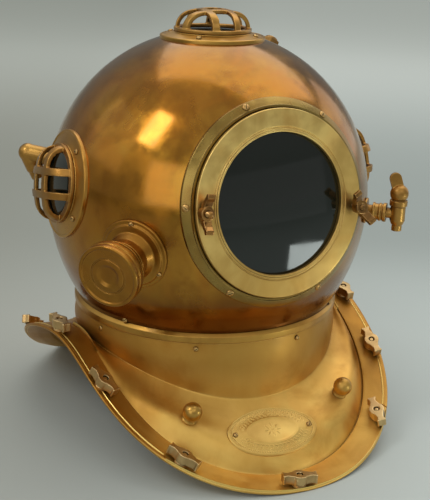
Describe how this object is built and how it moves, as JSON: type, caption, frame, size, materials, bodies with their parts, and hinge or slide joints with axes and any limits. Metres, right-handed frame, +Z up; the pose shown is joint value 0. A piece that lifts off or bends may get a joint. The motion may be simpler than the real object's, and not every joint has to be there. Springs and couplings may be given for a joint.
{
  "type": "diving helmet",
  "caption": "Brass diving helmet with a round bonnet, guarded windows, a bolted front window, an exhaust valve and a spitcock, locked onto a flanged corselet with wing nuts.",
  "frame": {"origin": "on the table, under the axis of the bonnet and neck ring", "axes": "+Z up along the neck ring's axis, the front window looks along -Y, +X is the wearer's left"},
  "size_m": [0.3773, 0.4643, 0.4243],
  "materials": {
    "dome_brass": "aged satin",
    "plate_brass": "aged satin",
    "window_brass": "aged satin",
    "trim_brass": "worn satin",
    "nut_brass": "dark aged",
    "plate_label_brass": "worn satin",
    "spring_brass": "drawn wire",
    "window_glass": "clear",
    "rubber_seal": "matte",
    "leather_seal": "oiled"
  },
  "bodies": {
    "corselet": {"corselet_plate": "plate_brass", "corselet_ring": "trim_brass", "corselet_ring_screws": "trim_brass", "neck_gasket": "leather_seal", "corselet_studs": "nut_brass", "ball_studs": "trim_brass", "name_plate": "plate_label_brass", "name_plate_screws": "trim_brass"},
    "bonnet": {"bonnet_shell": "dome_brass", "bonnet_ring": "trim_brass", "bonnet_ring_screws": "trim_brass", "front_flange": "window_brass", "front_flange_screws": "trim_brass", "front_gasket": "rubber_seal", "door_studs": "nut_brass", "side_flange_right": "trim_brass", "side_glass_right": "window_glass", "side_guard_right": "trim_brass", "side_screws_right": "trim_brass", "side_flange_left": "trim_brass", "side_glass_left": "window_glass", "side_guard_left": "trim_brass", "side_screws_left": "trim_brass", "top_flange": "trim_brass", "top_glass": "window_glass", "top_guard": "trim_brass", "top_screws": "trim_brass", "exhaust_body": "trim_brass", "exhaust_spring": "spring_brass", "exhaust_screws": "trim_brass", "spitcock_body": "trim_brass", "inlet_elbow": "trim_brass", "phone_gland": "trim_brass", "phone_gland_nut": "trim_brass"},
    "door": {"front_door_ring": "window_brass", "front_glass": "window_glass", "front_glass_bezel": "window_brass"},
    "door_nut_right": {"door_nut_right": "nut_brass"},
    "door_nut_left": {"door_nut_left": "nut_brass"},
    "exhaust_cap": {"exhaust_cap": "trim_brass"},
    "exhaust_disc": {"exhaust_disc": "trim_brass"},
    "spitcock_plug": {"spitcock_plug": "trim_brass"},
    "inlet_valve_disc": {"inlet_valve_disc": "trim_brass"},
    "wing_nut_01": {"wing_nut_01": "nut_brass"},
    "wing_nut_02": {"wing_nut_02": "nut_brass"},
    "wing_nut_03": {"wing_nut_03": "nut_brass"},
    "wing_nut_04": {"wing_nut_04": "nut_brass"},
    "wing_nut_05": {"wing_nut_05": "nut_brass"},
    "wing_nut_06": {"wing_nut_06": "nut_brass"},
    "wing_nut_07": {"wing_nut_07": "nut_brass"},
    "wing_nut_08": {"wing_nut_08": "nut_brass"},
    "wing_nut_09": {"wing_nut_09": "nut_brass"},
    "wing_nut_10": {"wing_nut_10": "nut_brass"},
    "wing_nut_11": {"wing_nut_11": "nut_brass"},
    "wing_nut_12": {"wing_nut_12": "nut_brass"}
  },
  "joints": [
    {"name": "bonnet_turn", "type": "hinge", "parent": "corselet", "child": "bonnet", "pos_m": [0, 0, 0.118], "axis": [0, 0, 1], "range_deg": [0, 45]},
    {"name": "door_lift_off", "type": "slide", "parent": "bonnet", "child": "door", "axis": [0, -0.9877, 0.1564], "range_m": [0, 0.045]},
    {"name": "door_nut_right_spin", "type": "hinge", "parent": "door", "child": "door_nut_right", "pos_m": [-0.0825, -0.15269, 0.25918], "axis": [0, -0.9877, 0.1564], "continuous": true},
    {"name": "door_nut_left_spin", "type": "hinge", "parent": "door", "child": "door_nut_left", "pos_m": [0.08188, -0.15427, 0.24925], "axis": [0, -0.9877, 0.1564], "continuous": true},
    {"name": "exhaust_cap_turn", "type": "hinge", "parent": "bonnet", "child": "exhaust_cap", "pos_m": [-0.16387, -0.12803, 0.20577], "axis": [-0.7803, -0.6097, -0.1392], "range_deg": [0, 360]},
    {"name": "exhaust_disc_travel", "type": "slide", "parent": "bonnet", "child": "exhaust_disc", "axis": [-0.7803, -0.6097, -0.1392], "range_m": [0, 0.005], "stiffness_N_per_m": 300, "springref_m": -0.005, "deforming": ["exhaust_spring"]},
    {"name": "spitcock_turn", "type": "hinge", "parent": "bonnet", "child": "spitcock_plug", "pos_m": [0.14336, -0.14088, 0.2315], "axis": [0, 0, 1], "range_deg": [0, 90]},
    {"name": "inlet_disc_travel", "type": "slide", "parent": "bonnet", "child": "inlet_valve_disc", "axis": [0.7705, -0.6239, -0.1305], "range_m": [0, 0.004], "stiffness_N_per_m": 20, "springref_m": -0.004},
    {"name": "wing_nut_01_spin", "type": "hinge", "parent": "corselet", "child": "wing_nut_01", "pos_m": [-0.01147, -0.22275, 0.01016], "axis": [0.0274, -0.0014, 0.9996], "continuous": true},
    {"name": "wing_nut_02_spin", "type": "hinge", "parent": "corselet", "child": "wing_nut_02", "pos_m": [0.11085, -0.17586, 0.03216], "axis": [-0.3145, -0.2054, 0.9268], "continuous": true},
    {"name": "wing_nut_03_spin", "type": "hinge", "parent": "corselet", "child": "wing_nut_03", "pos_m": [0.15258, -0.10357, 0.07499], "axis": [-0.2738, -0.4199, 0.8653], "continuous": true},
    {"name": "wing_nut_04_spin", "type": "hinge", "parent": "corselet", "child": "wing_nut_04", "pos_m": [0.16494, -0.02788, 0.10913], "axis": [-0.0367, -0.2283, 0.9729], "continuous": true},
    {"name": "wing_nut_05_spin", "type": "hinge", "parent": "corselet", "child": "wing_nut_05", "pos_m": [0.16809, 0.08653, 0.08125], "axis": [-0.2404, 0.4893, 0.8383], "continuous": true},
    {"name": "wing_nut_06_spin", "type": "hinge", "parent": "corselet", "child": "wing_nut_06", "pos_m": [0.10506, 0.17234, 0.01719], "axis": [-0.2512, 0.1587, 0.9548], "continuous": true},
    {"name": "wing_nut_07_spin", "type": "hinge", "parent": "corselet", "child": "wing_nut_07", "pos_m": [0, 0.2232, 0.01], "axis": [0, 0, 1], "continuous": true},
    {"name": "wing_nut_08_spin", "type": "hinge", "parent": "corselet", "child": "wing_nut_08", "pos_m": [-0.10506, 0.17234, 0.01719], "axis": [0.2512, 0.1587, 0.9548], "continuous": true},
    {"name": "wing_nut_09_spin", "type": "hinge", "parent": "corselet", "child": "wing_nut_09", "pos_m": [-0.16594, 0.09298, 0.07678], "axis": [0.2638, 0.493, 0.8291], "continuous": true},
    {"name": "wing_nut_10_spin", "type": "hinge", "parent": "corselet", "child": "wing_nut_10", "pos_m": [-0.16871, -0.00311, 0.11247], "axis": [0.0004, -0.0222, 0.9998], "continuous": true},
    {"name": "wing_nut_11_spin", "type": "hinge", "parent": "corselet", "child": "wing_nut_11", "pos_m": [-0.15579, -0.09055, 0.08232], "axis": [0.2383, -0.4272, 0.8722], "continuous": true},
    {"name": "wing_nut_12_spin", "type": "hinge", "parent": "corselet", "child": "wing_nut_12", "pos_m": [-0.11085, -0.17586, 0.03216], "axis": [0.3145, -0.2054, 0.9268], "continuous": true}
  ]
}
